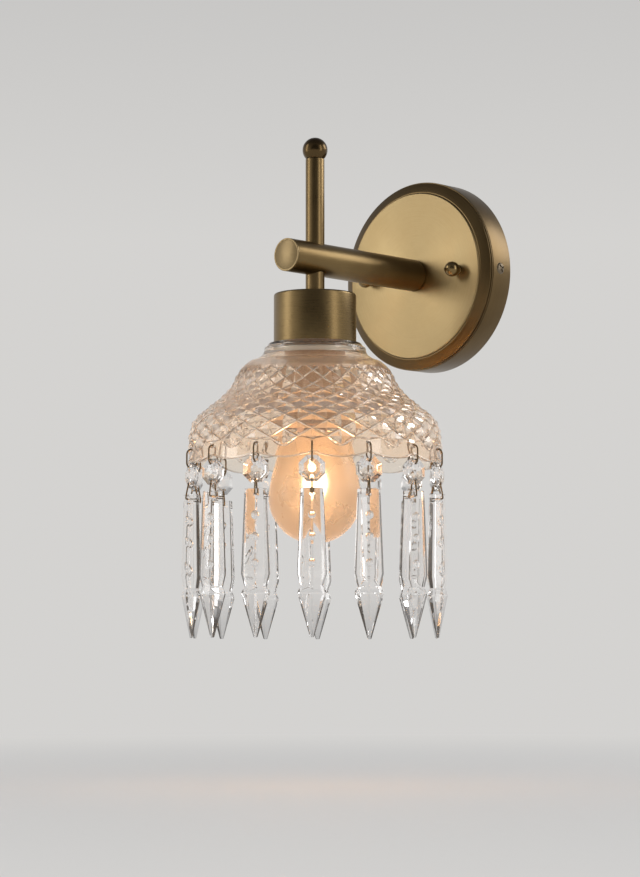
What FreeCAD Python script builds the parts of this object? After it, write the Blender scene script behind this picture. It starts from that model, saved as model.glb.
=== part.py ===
"""Crystal wall sconce: a round brass canopy, a straight arm, a stem through it, and a cut-glass shade
hung with fourteen crystal drops.  Millimetres.

The wall is the plane y = 0 and the lamp stands out towards -Y.  +Z is up.
The origin is the middle of the canopy's back, on the wall.  Angles round the shade start at its front
(-Y) and run towards +X.
"""

import FreeCAD
import Part
import math
import os

# ---------------------------------------------------------------- driving dimensions
# Canopy: the band against the wall and the dished face plate in front of it
canopy_radius = 60.0
band_depth = 18.0
band_wall = 1.8
plate_wall = 1.6
plate_rim_inset = 0.6
plate_rim_height = 1.0
plate_bevel_height = 2.4
plate_step_height = 1.2
plate_disc_radius = 52.5

# Wall bracket: a steel strip with two ears bent forward
bracket_width = 16.0
bracket_thickness = 2.0
ear_reach = 14.0
ear_clearance = 0.3
slot_spacing = 89.0
slot_length = 9.0
slot_width = 4.6

# Studs on the bracket and the ball nuts on them
stud_spacing = 72.0
stud_radius = 1.95
stud_collar_radius = 3.5
stud_collar_height = 1.0
stud_end_gap = 1.0
ball_nut_radius = 4.75
ball_nut_collar_radius = 3.3
ball_nut_neck_radius = 2.6
ball_nut_collar_height = 1.8
ball_nut_bore_depth = 6.0

# Side screws that hold the band to the ears
side_screw_height = 10.0
side_screw_radius = 1.95
side_screw_length = 7.0
side_head_radius = 3.6
side_head_height = 1.6
side_recess_radius = 4.1
side_recess_depth = 0.8

# Arm
arm_radius = 10.0
arm_wall = 1.5
arm_overhang = 25.6
arm_bush_length = 6.0
spigot_radius = 5.0
spigot_bore_radius = 3.5
spigot_length = 8.6
cap_thickness = 1.2
cap_plug_length = 6.0

# Stem through the arm, and its ball
stem_radius = 5.75
stem_bore_radius = 3.5
stem_above_arm = 61.6
stem_thread_radius = 5.0
stem_thread_length = 20.0
stem_wire_hole_radius = 3.2
finial_radius = 7.7
finial_seat_radius = 5.3
finial_spigot_length = 8.0

# Lock nuts
nut_flats = 15.0
nut_height = 4.0

# Socket cup
cup_radius = 25.0
cup_wall = 1.5
cup_edge = 1.35
cup_top = -21.3
cup_height = 30.5

# Lampholder and the ring that clamps the shade
holder_radius = 19.0
holder_top = -33.0
holder_bottom = -92.0
holder_bore_radius = 13.7
holder_bore_depth = 24.0
holder_entry_depth = 10.3
ring_outer_radius = 25.0
ring_height = 4.0

# Bulb
bulb_radius = 28.0
bulb_centre = -144.7
bulb_neck_radius = 14.6
bulb_neck = -96.0
bulb_cap_radius = 13.1
bulb_cap_top = -71.5
bulb_tip_radius = 4.5
bulb_tip_height = 2.2
bulb_shoulder = [(17.6, -106.5), (22.6, -119.5), (26.6, -132.0)]
bulb_foot_flat = 3.0

# Glass shade, measured about its own upright axis
shade_reach = 115.0
shade_hole_radius = 20.0
shade_top_thickness = 3.6
shade_wall = 3.5
neck_outline = [(28.0, 0.0), (30.7, 2.8), (30.7, 5.2), (36.6, 10.8)]
neck_inside = [(27.2, 6.8), (34.4, 13.6)]
flare_outline = [
    (42.8, 13.5),
    (47.2, 18.6),
    (50.6, 25.4),
    (58.0, 33.6),
    (67.5, 41.2),
    (73.6, 47.2),
    (76.2, 54.4),
    (76.9, 63.3),
    (76.9, 74.4),
]
field_start = 4.2
field_end = 62.0
diamond_bands = 12
groove_depth = 1.0
petal_bottom = 68.0
hook_diamond_bottom = 64.2
rim_peak = 71.2
rim_dip = 74.4

# Crystal drops
drop_count = 14
drop_phase = 15.64
drop_turns = [20, 0, -18, -30, -30, 25, 28, 15, 0, -15, -28, -28, 30, 30]
bead_turn_share = 0.5
wire_radius = 0.5
drill_radius = 1.5
seat_gap = 0.3
rim_hole_above_peak = 5.4
hook_bend_radius = 3.0
bead_sides = 8
bead_flats = 15.4
bead_half_thickness = 3.0
bead_table_radius = 2.6
bead_girdle_half = 0.8
bead_hole_offset = 4.9
bead_below_rim = 9.7
link_top_reach = 2.35
link_corner = 1.2
prism_below_bead = 11.3
prism_hole_depth = 3.6
prism_body_length = 49.1
prism_neck_length = 7.0
prism_shoulder_length = 4.2
prism_head_length = 25.2
prism_top_width = 13.3
prism_body_width = 17.1
prism_neck_width = 13.3
prism_head_width = 16.9
prism_tip_width = 2.5
prism_flatness = 0.52
prism_shoulder_across = 0.68
prism_shoulder_out = 0.66
dimple_depths = [15.3, 27.8, 43.0]
dimple_radius = 2.7
dimple_sink = 1.4
dimple_point_radius = 0.05

# Lead wires
lead_radius = 1.1
lead_spread = 1.35
lead_rise = 14.0

# Clearances and how finely small things are faceted
slip = 0.05
pass_clearance = 0.1
stud_clearance = 0.3
canopy_sides = 60
cup_sides = 48
arm_sides = 32
stem_sides = 24
screw_sides = 12
wire_sides = 6
bulb_sides = 24
bulb_steps = 4
ball_steps = 6
hook_bend_steps = 4

# ---------------------------------------------------------------- derived places
canopy_depth = band_depth + plate_rim_height + plate_bevel_height + plate_step_height
plate_back = canopy_depth - plate_wall
cup_bottom = cup_top - cup_height
shade_top = cup_bottom
columns = 4 * drop_count
column_step = 360.0 / columns
skirt_radius = flare_outline[-1][0]
rim_middle = skirt_radius - shade_wall / 2
rim_hole = shade_top - rim_peak + rim_hole_above_peak
bead_middle = shade_top - rim_peak - bead_below_rim
bead_hole_top = bead_middle + bead_hole_offset
bead_hole_foot = bead_middle - bead_hole_offset
drill_flat = drill_radius * math.cos(math.pi / wire_sides)
wire_flat = wire_radius * math.cos(math.pi / wire_sides)
link_top = bead_hole_foot - drill_flat + wire_flat + seat_gap
prism_top = bead_middle - prism_below_bead
prism_hole = prism_top - prism_hole_depth
link_foot = prism_hole + drill_flat - wire_flat - seat_gap
upright = FreeCAD.Vector(0, 0, 1)
outward_y = FreeCAD.Vector(0, -1, 0)
origin = FreeCAD.Vector(0, 0, 0)


# ---------------------------------------------------------------- building blocks
def vector(x, y, z):
    return FreeCAD.Vector(x, y, z)


def flat_face(points):
    return Part.Face(Part.makePolygon(points + points[:1]))


def closed_solid(faces):
    """Solid inside flat faces that meet edge to edge."""
    shell = Part.makeShell(faces)
    shell.sewShape()
    solid = Part.Solid(shell)
    if solid.Volume < 0:
        solid.reverse()
    return solid


def ring_points(radius, height, sides, start=0.0):
    angles = [math.radians(start + 360.0 * i / sides) for i in range(sides)]
    return [vector(radius * math.cos(a), radius * math.sin(a), height) for a in angles]


def side_faces(lower, upper):
    """Flat four-sided faces between two rings with as many points each."""
    count = len(lower)
    faces = []
    for i in range(count):
        j = (i + 1) % count
        faces.append(flat_face([lower[i], lower[j], upper[j], upper[i]]))
    return faces


def stacked(rings):
    """Solid through a stack of flat rings of parallel outlines, closed by its first and last ring."""
    faces = [flat_face(rings[0]), flat_face(rings[-1])]
    for lower, upper in zip(rings, rings[1:]):
        faces += side_faces(lower, upper)
    return closed_solid(faces)


def ring_face(inner, outer):
    """Flat face between two outlines."""
    return flat_face(outer).cut(flat_face(inner)).Faces[0]


def turned(outline, sides):
    """Solid turned about the Z axis in flat facets, from a closed outline of (radius, height) points."""
    faces = []
    for (r1, h1), (r2, h2) in zip(outline, outline[1:] + outline[:1]):
        inner, outer = ring_points(min(r1, r2), h1, sides), ring_points(max(r1, r2), h1, sides)
        if h1 != h2 and r1 > 0:
            faces += side_faces(ring_points(r1, h1, sides), ring_points(r2, h2, sides))
        elif h1 == h2 and min(r1, r2) > 0:
            faces.append(ring_face(inner, outer))
        elif h1 == h2:
            faces.append(flat_face(outer))
    return closed_solid(faces)


def disc(radius, low, high, sides):
    return turned([(0, low), (radius, low), (radius, high), (0, high)], sides)


def bar(radius, start, direction, length, sides):
    """Many-sided bar or drill from a point, along a direction."""
    shape = disc(radius, 0, length, sides)
    shape.Placement = FreeCAD.Placement(start, FreeCAD.Rotation(upright, direction))
    return shape


def facing_out(shape):
    """Turns a solid made along +Z so that it stands out from the wall, along -Y."""
    turned_shape = shape.copy()
    turned_shape.rotate(origin, vector(1, 0, 0), 90)
    return turned_shape


def at_shade(shape):
    """Moves a solid made about the Z axis onto the shade's axis."""
    moved = shape.copy()
    moved.translate(vector(0, -shade_reach, 0))
    return moved


def drill(middle, direction, length):
    """Six-sided drill for the wires' small holes, centred on a point."""
    return bar(drill_radius, middle - direction * (length / 2), direction, length, wire_sides)


def bent_wire(path, radius, across, closed):
    """Wire of six-sided section along a flat path.  across is the unit normal of the path's plane."""
    count = len(path)
    rings = []
    for i, point in enumerate(path):
        before = path[i - 1]
        after = path[(i + 1) % count]
        arriving = (point - before).normalize()
        leaving = (after - point).normalize()
        if not closed and i == 0:
            arriving = leaving
        if not closed and i == count - 1:
            leaving = arriving
        along = (arriving + leaving).normalize()
        outward = along.cross(across)
        stretch = 1.0 / along.dot(arriving)
        ring = []
        for k in range(wire_sides):
            a = math.radians(360.0 * (k + 0.5) / wire_sides)
            ring.append(point + outward * (radius * stretch * math.sin(a)) + across * (radius * math.cos(a)))
        rings.append(ring)
    if not closed:
        return stacked(rings)
    faces = []
    for i in range(count):
        faces += side_faces(rings[i], rings[(i + 1) % count])
    return closed_solid(faces)


def save(name, shapes):
    body = shapes[0] if len(shapes) == 1 else Part.makeCompound(shapes)
    body.exportStep("parts/" + name + ".step")
    print(name, len(body.Solids), "solids", round(body.Volume, 1), "mm3", "valid", body.isValid())


# ---------------------------------------------------------------- canopy and wall bracket
def ear_face():
    """Distance from the middle to an ear's outside, so that its corners clear the band."""
    inside = canopy_radius - band_wall - ear_clearance
    return math.sqrt(inside**2 - (bracket_width / 2) ** 2)


def side_screw_places():
    return [(side, vector(side, 0, 0)) for side in (1, -1)]


def canopy_band():
    inside = canopy_radius - band_wall
    ring = turned(
        [(inside, 0), (canopy_radius, 0), (canopy_radius, band_depth), (inside, band_depth)],
        canopy_sides,
    )
    ring = facing_out(ring)
    hole_radius = side_screw_radius + stud_clearance
    for side, outward in side_screw_places():
        hole_start = vector(side * ear_face(), -side_screw_height, 0)
        ring = ring.cut(bar(hole_radius, hole_start, outward, canopy_radius, screw_sides))
        recess = vector(side * (canopy_radius - side_recess_depth), -side_screw_height, 0)
        ring = ring.cut(bar(side_recess_radius, recess, outward, canopy_radius, screw_sides))
    return ring


def face_plate():
    """Spun plate: flat disc, step, bevel and rim, hollow behind, with holes for arm and studs."""
    rim = canopy_radius - plate_rim_inset
    bevel_low = band_depth + plate_rim_height
    bevel_high = bevel_low + plate_bevel_height
    plate = turned(
        [
            (0, plate_back),
            (plate_disc_radius - plate_wall, plate_back),
            (rim - plate_wall, band_depth),
            (rim, band_depth),
            (rim, bevel_low),
            (plate_disc_radius, bevel_high),
            (plate_disc_radius, canopy_depth),
            (0, canopy_depth),
        ],
        canopy_sides,
    )
    arm_hole = disc(spigot_radius + pass_clearance, 0, 2 * canopy_depth, stem_sides)
    plate = facing_out(plate.cut(arm_hole))
    hole_radius = stud_radius + stud_clearance
    for x in stud_places():
        plate = plate.cut(bar(hole_radius, vector(x, 0, 0), outward_y, 2 * canopy_depth, screw_sides))
    return plate


def stud_places():
    return (-stud_spacing / 2, stud_spacing / 2)


def wall_bracket():
    half = bracket_width / 2
    reach = ear_face()
    strip = Part.makeBox(2 * reach, bracket_thickness, bracket_width, vector(-reach, -bracket_thickness, -half))
    for side in (1, -1):
        low = reach - bracket_thickness if side > 0 else -reach
        ear = Part.makeBox(bracket_thickness, ear_reach, bracket_width, vector(low, -ear_reach, -half))
        strip = strip.fuse(ear)
    strip = strip.removeSplitter()
    hole = stud_radius + slip
    for x in stud_places():
        strip = strip.cut(bar(hole, vector(x, 1, 0), outward_y, bracket_thickness + 2, screw_sides))
    for side, outward in side_screw_places():
        start = vector(side * (reach - 2 * bracket_thickness), -side_screw_height, 0)
        thread = bar(side_screw_radius + slip, start, outward, 3 * bracket_thickness, screw_sides)
        strip = strip.cut(thread)
        strip = strip.cut(wall_slot(side * slot_spacing / 2))
    return strip


def wall_slot(x):
    """Round-ended slot for a wall screw, along the strip."""
    radius = slot_width / 2
    run = slot_length / 2 - radius
    deep = bracket_thickness + 2
    slot = Part.makeBox(2 * run, deep, slot_width, vector(x - run, -deep + 1, -radius))
    for end in (x - run, x + run):
        slot = slot.fuse(Part.makeCylinder(radius, deep, vector(end, 1, 0), outward_y))
    return slot.removeSplitter()


def bracket_studs():
    studs = []
    length = canopy_depth + ball_nut_bore_depth - stud_end_gap
    for x in stud_places():
        collar_front = bracket_thickness + stud_collar_height
        stud = turned(
            [
                (0, 0),
                (stud_radius, 0),
                (stud_radius, bracket_thickness),
                (stud_collar_radius, bracket_thickness),
                (stud_collar_radius, collar_front),
                (stud_radius, collar_front),
                (stud_radius, length),
                (0, length),
            ],
            screw_sides,
        )
        stud = facing_out(stud)
        stud.translate(vector(x, 0, 0))
        studs.append(stud)
    return studs


def ball_outline(radius, seat_radius, seat_height, steps):
    """(radius, height) points up a ball that stands on a seat, to a flat on its top and its middle."""
    middle = seat_height + math.sqrt(radius**2 - seat_radius**2)
    low = math.degrees(math.asin((seat_height - middle) / radius))
    high = 90.0 - 90.0 / (2 * steps)
    points = []
    for i in range(steps + 1):
        a = math.radians(low + (high - low) * i / steps)
        points.append((radius * math.cos(a), middle + radius * math.sin(a)))
    return [(seat_radius, seat_height)] + points[1:] + [(0, points[-1][1])]


def ball_nuts():
    nuts = []
    seat = canopy_depth + ball_nut_collar_height
    bore = stud_radius + slip
    bore_end = canopy_depth + ball_nut_bore_depth
    ball = turned(
        [(0, bore_end), (bore, bore_end), (bore, canopy_depth), (ball_nut_collar_radius, canopy_depth)]
        + [(ball_nut_collar_radius, seat)]
        + ball_outline(ball_nut_radius, ball_nut_neck_radius, seat, ball_steps),
        screw_sides,
    )
    for x in stud_places():
        nut = facing_out(ball)
        nut.translate(vector(x, 0, 0))
        nuts.append(nut)
    return nuts


def side_screws():
    screws = []
    seat = canopy_radius - side_recess_depth
    for side, outward in side_screw_places():
        screw = turned(
            [
                (0, -side_screw_length),
                (side_screw_radius, -side_screw_length),
                (side_screw_radius, 0),
                (side_head_radius, 0),
                (side_head_radius, side_head_height),
                (0, side_head_height),
            ],
            screw_sides,
        )
        under_head = vector(side * seat, -side_screw_height, 0)
        screw.Placement = FreeCAD.Placement(under_head, FreeCAD.Rotation(upright, outward))
        screws.append(screw)
    return screws


# ---------------------------------------------------------------- arm, stem and cup
def arm_tube():
    """Tube with a brazed bush and a hollow spigot at the wall end, cross-drilled for the stem."""
    front = shade_reach + arm_overhang - cap_thickness
    inside = arm_radius - arm_wall
    bush = canopy_depth + arm_bush_length
    tube = turned(
        [
            (spigot_bore_radius, canopy_depth - spigot_length),
            (spigot_radius, canopy_depth - spigot_length),
            (spigot_radius, canopy_depth),
            (arm_radius, canopy_depth),
            (arm_radius, front),
            (inside, front),
            (inside, bush),
            (spigot_bore_radius, bush),
        ],
        arm_sides,
    )
    cross = disc(stem_radius + pass_clearance, -2 * arm_radius, 2 * arm_radius, stem_sides)
    return facing_out(tube).cut(at_shade(cross))


def arm_end_cap():
    front = shade_reach + arm_overhang
    seam = front - cap_thickness
    plug = arm_radius - arm_wall - slip
    cap = turned(
        [
            (0, seam - cap_plug_length),
            (plug, seam - cap_plug_length),
            (plug, seam),
            (arm_radius, seam),
            (arm_radius, front),
            (0, front),
        ],
        arm_sides,
    )
    return facing_out(cap)


def hex_nut(low):
    across_corners = nut_flats / 2 / math.cos(math.pi / 6)
    nut = disc(across_corners, low, low + nut_height, 6)
    return nut.cut(disc(spigot_radius + slip, low - 1, low + nut_height + 1, stem_sides))


def lock_nuts():
    """One nut behind the face plate on the arm's spigot, one inside the cup on the stem's thread."""
    rear = facing_out(hex_nut(plate_back - nut_height))
    inner = at_shade(hex_nut(cup_top - cup_wall - nut_height))
    return [rear, inner]


def stem_tube():
    foot = cup_top - stem_thread_length
    tube = turned(
        [
            (stem_bore_radius, foot),
            (stem_thread_radius, foot),
            (stem_thread_radius, cup_top),
            (stem_radius, cup_top),
            (stem_radius, stem_above_arm),
            (stem_bore_radius, stem_above_arm),
        ],
        stem_sides,
    )
    tube = tube.cut(bar(stem_wire_hole_radius, origin, vector(0, 1, 0), 2 * stem_radius, screw_sides))
    return at_shade(tube)


def finial_ball():
    spigot = stem_bore_radius - slip
    foot = stem_above_arm - finial_spigot_length
    ball = ball_outline(finial_radius, finial_seat_radius, stem_above_arm, ball_steps)
    return at_shade(turned([(0, foot), (spigot, foot), (spigot, stem_above_arm)] + ball, stem_sides))


def socket_cup():
    inner = cup_radius - cup_wall
    cup = turned(
        [
            (stem_thread_radius + pass_clearance, cup_top),
            (cup_radius - cup_edge, cup_top),
            (cup_radius, cup_top - cup_edge),
            (cup_radius, cup_bottom),
            (inner, cup_bottom),
            (inner, cup_top - cup_wall),
            (stem_thread_radius + pass_clearance, cup_top - cup_wall),
        ],
        cup_sides,
    )
    return at_shade(cup)


def lampholder():
    """Ceramic body: entry for the stem's thread above, blind bore for the bulb's cap below."""
    entry = stem_thread_radius + slip
    entry_floor = holder_top - holder_entry_depth
    ceiling = holder_bottom + holder_bore_depth
    body = turned(
        [
            (0, ceiling),
            (holder_bore_radius, ceiling),
            (holder_bore_radius, holder_bottom),
            (holder_radius, holder_bottom),
            (holder_radius, holder_top),
            (entry, holder_top),
            (entry, entry_floor),
            (0, entry_floor),
        ],
        stem_sides,
    )
    return at_shade(body)


def shade_ring():
    top = shade_top - shade_top_thickness
    low = top - ring_height
    bore = holder_radius + slip
    ring = turned([(bore, low), (ring_outer_radius, low), (ring_outer_radius, top), (bore, top)], stem_sides)
    return at_shade(ring)


def bulb():
    """Frosted envelope and the metal cap cemented to it."""
    foot = []
    for i in range(bulb_steps):
        a = math.radians(90.0 * i / bulb_steps)
        foot.append((bulb_radius * math.cos(a), bulb_centre - bulb_radius * math.sin(a)))
    bottom = bulb_centre - bulb_radius
    foot += [(bulb_foot_flat, bottom), (0, bottom)]
    neck = [(0, bulb_neck), (bulb_neck_radius, bulb_neck)]
    envelope = turned(neck + bulb_shoulder + foot, bulb_sides)
    tip = bulb_cap_top + bulb_tip_height
    cap = turned(
        [
            (0, bulb_neck),
            (bulb_cap_radius, bulb_neck),
            (bulb_cap_radius, bulb_cap_top),
            (bulb_tip_radius, tip),
            (0, tip),
        ],
        stem_sides,
    )
    return [at_shade(envelope), at_shade(cap)]


def lead_wires():
    """Two insulated leads from the wall, through the arm and down the stem to the lampholder."""
    foot = holder_top - holder_entry_depth + seat_gap
    reach = shade_reach
    outline = [
        (0.0, lead_rise),
        (5.0, lead_rise),
        (10.0, lead_rise * 0.4),
        (canopy_depth - spigot_length + 2.0, 0.0),
        (reach - stem_radius - 1.5, 0.0),
        (reach - stem_radius + 3.0, -0.8),
        (reach, -5.5),
        (reach, foot),
    ]
    leads = []
    for x in (-lead_spread, lead_spread):
        path = [vector(x, -out, up) for out, up in outline]
        leads.append(bent_wire(path, lead_radius, vector(1, 0, 0), False))
    return leads


# ---------------------------------------------------------------- cut-glass shade
def column_point(radius, depth, column):
    """Point on the shade at a radius and a depth below its top.  Column 0 is the first hook's."""
    a = math.radians(column * column_step)
    return vector(radius * math.sin(a), -radius * math.cos(a), -depth)


def whole_ring(radius, depth, step=1):
    return [column_point(radius, depth, c) for c in range(0, columns, step)]


def flare_curve():
    curve = Part.BSplineCurve()
    curve.interpolate([vector(r, -d, 0) for r, d in flare_outline])
    return curve


def flare_point(curve, distance, sunk):
    """(radius, depth) at a distance along the flare, sunk into the glass along its normal."""
    u = curve.parameterAtDistance(distance, curve.FirstParameter)
    place = curve.value(u)
    along = curve.tangent(u)[0]
    return place.x + along.y * sunk, -(place.y - along.x * sunk)


def field_rows(curve):
    """Rows of the diamond field.  Groove crossings and diamond tips alternate along each row."""
    rows = []
    for i in range(diamond_bands + 1):
        distance = field_start + (field_end - field_start) * i / diamond_bands
        tip = flare_point(curve, distance, 0.0)
        low = flare_point(curve, distance, groove_depth * tip[0] / skirt_radius)
        raised = [i > 0 and (i + c) % 2 == 0 for c in range(columns)]
        rows.append([column_point(*(tip if up else low), c) for c, up in enumerate(raised)])
    return rows


def diamond_faces(rows):
    """Two flat facets in each cell, meeting along the groove that crosses it."""
    faces = []
    for i in range(diamond_bands):
        for c in range(columns):
            d = (c + 1) % columns
            a, b = rows[i][c], rows[i][d]
            e, f = rows[i + 1][c], rows[i + 1][d]
            if (i + c) % 2:
                faces += [flat_face([a, b, f]), flat_face([a, f, e])]
            else:
                faces += [flat_face([a, b, e]), flat_face([b, f, e])]
    return faces


def bow(low, high, share):
    """Parabola from low at its middle, share 0, to high at its end, share 1."""
    return low + (high - low) * share**2


def skirt_faces(rows):
    """Lower halves of the last diamonds, and the plain skirt down to the scalloped rim."""
    last = rows[-1]
    corner_radius = math.hypot(last[1].x, last[1].y)
    corner_depth = -last[1].z
    spread = skirt_radius - corner_radius

    def on_skirt(depth, column):
        share = (depth - corner_depth) / (rim_dip - corner_depth)
        radius = corner_radius + spread * share
        if column == int(column):
            return column_point(radius, depth, column)
        half_step = math.radians(column_step / 2)
        return column_point(radius * math.cos(half_step), depth, column)

    faces = []
    rim = [on_skirt(bow(rim_dip, rim_peak, abs(c % 4 - 2) / 2), c) for c in range(columns)]
    for c in range(0, columns, 2):
        under_hook = c % 4 == 0
        left = last[(c - 1) % columns]
        right = last[(c + 1) % columns]
        if under_hook:
            edge = [on_skirt(hook_diamond_bottom, c)]
        else:
            half = bow(petal_bottom, corner_depth, 0.5)
            edge = [on_skirt(half, c - 0.5), on_skirt(petal_bottom, c), on_skirt(half, c + 0.5)]
        line = [left] + edge + [right]
        for a, b in zip(line, line[1:]):
            faces.append(flat_face([last[c], a, b]))
        middle = len(line) // 2
        faces.append(flat_face(line[: middle + 1] + [rim[c], rim[(c - 1) % columns]]))
        faces.append(flat_face(line[middle:] + [rim[(c + 1) % columns], rim[c]]))
    return faces, rim


def rim_faces(rim, inner_rim):
    """Underside of the rim.  The inside has half as many columns as the outside."""
    faces = []
    for k in range(columns // 2):
        first, middle, last = rim[2 * k], rim[2 * k + 1], rim[(2 * k + 2) % columns]
        near, far = inner_rim[k], inner_rim[(k + 1) % len(inner_rim)]
        faces.append(flat_face([first, middle, near]))
        faces.append(flat_face([middle, far, near]))
        faces.append(flat_face([middle, last, far]))
    return faces


def glass_shade():
    curve = flare_curve()
    rows = field_rows(curve)
    faces = diamond_faces(rows)
    outline = neck_outline + [flare_outline[0]]
    neck = [whole_ring(r, d) for r, d in outline] + [rows[0]]
    for upper, lower in zip(neck, neck[1:]):
        faces += side_faces(lower, upper)
    lower_faces, rim = skirt_faces(rows)
    faces += lower_faces

    inner_skirt = skirt_radius - shade_wall
    inner_rim = []
    for c in range(0, columns, 2):
        depth = rim_peak if c % 4 == 0 else rim_dip
        inner_rim.append(column_point(inner_skirt, depth, c))
    faces += rim_faces(rim, inner_rim)
    inside = [whole_ring(shade_hole_radius, shade_top_thickness, 2)]
    inside.append(whole_ring(neck_inside[0][0], shade_top_thickness, 2))
    for r, d in neck_inside:
        inside.append(whole_ring(r, d, 2))
    for i in range(0, diamond_bands, 2):
        distance = field_start + (field_end - field_start) * i / diamond_bands
        inside.append(whole_ring(*flare_point(curve, distance, shade_wall), 2))
    inside.append(whole_ring(inner_skirt, flare_outline[-2][1], 2))
    inside.append(inner_rim)
    for upper, lower in zip(inside, inside[1:]):
        faces += side_faces(lower, upper)
    hole = whole_ring(shade_hole_radius, 0, 2)
    faces += side_faces(inside[0], hole)
    faces.append(ring_face(hole, neck[0]))

    shade = closed_solid(faces)
    shade.translate(vector(0, 0, shade_top))
    tools = []
    for k in range(drop_count):
        tool = drill(vector(0, -rim_middle, rim_hole), outward_y, 3 * shade_wall)
        tool.rotate(origin, upright, 360.0 * k / drop_count)
        tools.append(tool)
    return turned_to_phase(shade.cut(Part.makeCompound(tools)))


# ---------------------------------------------------------------- crystal drops
def turned_to_phase(shape, number=0, turn=0.0):
    """Carries a piece made at the shade's front to its place round the shade, turned on its hook."""
    placed = shape.copy()
    placed.rotate(vector(0, -rim_middle, 0), upright, turn)
    placed.rotate(origin, upright, drop_phase + 360.0 * number / drop_count)
    return at_shade(placed)


def radial_path(points):
    """Path in the upright plane through the front of the shade, from (outward, height) points."""
    return [vector(0, -rim_middle - out, up) for out, up in points]


def rim_hook():
    """Oval wire loop through the rim's hole and the bead's upper hole."""
    seat = drill_flat - wire_flat - seat_gap
    top = rim_hole + seat - hook_bend_radius
    foot = bead_hole_top - seat + hook_bend_radius
    points = []
    for middle, start in ((top, 0.0), (foot, math.pi)):
        for i in range(hook_bend_steps + 1):
            a = start + math.pi * i / hook_bend_steps
            points.append((hook_bend_radius * math.cos(a), middle + hook_bend_radius * math.sin(a)))
    return bent_wire(radial_path(points), wire_radius, vector(1, 0, 0), True)


def bead():
    """Octagonal bead, flats up and down, with a hole near its top and one near its foot."""
    corner = 1.0 / math.cos(math.pi / bead_sides)
    half_step = 180.0 / bead_sides
    half_flats = bead_flats / 2
    rings = []
    for flat_radius, height in (
        (bead_table_radius, -bead_half_thickness),
        (half_flats, -bead_girdle_half),
        (half_flats, bead_girdle_half),
        (bead_table_radius, bead_half_thickness),
    ):
        rings.append(ring_points(flat_radius * corner, height, bead_sides, half_step))
    stone = stacked(rings)
    stone.rotate(origin, vector(1, 0, 0), 90)
    stone.translate(vector(0, -rim_middle, bead_middle))
    for height in (bead_hole_top, bead_hole_foot):
        middle = vector(0, -rim_middle, height)
        stone = stone.cut(drill(middle, outward_y, 4 * bead_half_thickness))
    return stone


def prism_half_thickness(depth):
    width = prism_top_width + (prism_body_width - prism_top_width) * depth / prism_body_length
    return prism_flatness * width / 2


def link():
    """Closed wire link: straight through the bead's lower hole, wider through the prism's."""
    foot_reach = prism_half_thickness(prism_hole_depth) + wire_radius + seat_gap
    points = [
        (link_top_reach, link_top),
        (link_top_reach + link_corner, link_top - link_corner),
        (foot_reach, link_foot + link_corner),
        (foot_reach - link_corner / 2, link_foot),
    ]
    points += [(-out, up) for out, up in reversed(points)]
    return bent_wire(radial_path(points), wire_radius, vector(1, 0, 0), True)


def prism_section(width, height):
    """Eight-cornered section: two edge ridges, two centre ridges and four shoulders."""
    half = width / 2
    thick = prism_flatness * half
    across = prism_shoulder_across * half
    out = prism_shoulder_out * thick
    corners = [(half, 0), (across, out), (0, thick), (-across, out)]
    corners += [(-x, -y) for x, y in corners]
    return [vector(x, y, height) for x, y in corners]


def prism():
    """Tapering prism with a notched neck, a spearhead and three cut dimples on its outer ridge."""
    levels = [(prism_top_width, 0.0)]
    for width, length in (
        (prism_body_width, prism_body_length),
        (prism_neck_width, prism_neck_length),
        (prism_head_width, prism_shoulder_length),
        (prism_tip_width, prism_head_length),
    ):
        levels.append((width, levels[-1][1] - length))
    stone = stacked([prism_section(w, h) for w, h in levels])
    tools = [drill(vector(0, 0, -prism_hole_depth), outward_y, 2 * prism_body_width)]
    for depth in dimple_depths:
        surface = prism_half_thickness(depth)
        rings = []
        for radius, out in (
            (dimple_point_radius, surface - dimple_sink),
            (2 * dimple_radius, surface + dimple_sink),
        ):
            rings.append(ring_points(radius, out, wire_sides))
        tool = stacked(rings)
        tool.rotate(origin, vector(1, 0, 0), 90)
        tool.translate(vector(0, 0, -depth))
        tools.append(tool)
    stone = stone.cut(Part.makeCompound(tools))
    stone.translate(vector(0, -rim_middle, prism_top))
    return stone


# ---------------------------------------------------------------- build everything
os.makedirs("parts", exist_ok=True)

save("wall_bracket", [wall_bracket()])
save("bracket_studs", bracket_studs())
save("canopy_band", [canopy_band()])
save("face_plate", [face_plate()])
save("ball_nuts", ball_nuts())
save("side_screws", side_screws())
save("arm_tube", [arm_tube()])
save("arm_end_cap", [arm_end_cap()])
save("lock_nuts", lock_nuts())
save("stem_tube", [stem_tube()])
save("finial_ball", [finial_ball()])
save("socket_cup", [socket_cup()])
save("lampholder", [lampholder()])
save("shade_ring", [shade_ring()])
save("glass_shade", [glass_shade()])
save("bulb", bulb())
save("lead_wires", lead_wires())
hook = rim_hook()
save("rim_hooks", [turned_to_phase(hook, number) for number in range(drop_count)])
for name, piece, share in (
    ("bead_", bead(), bead_turn_share),
    ("link_", link(), 1.0),
    ("prism_", prism(), 1.0),
):
    for number in range(drop_count):
        turn = share * drop_turns[number % len(drop_turns)]
        save(name + "%02d" % (number + 1), [turned_to_phase(piece, number, turn)])
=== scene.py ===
"""Looks of the crystal wall sconce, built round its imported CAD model.

Outlines are written in millimetres and become metres when a mesh is made.  The wall is y = 0, the lamp
stands out towards -Y, and +Z is up.  Round pieces are turned from (radius, height) outlines.
"""

import math

import bmesh
import bpy
import numpy as np
from mathutils import Matrix, Vector


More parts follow.
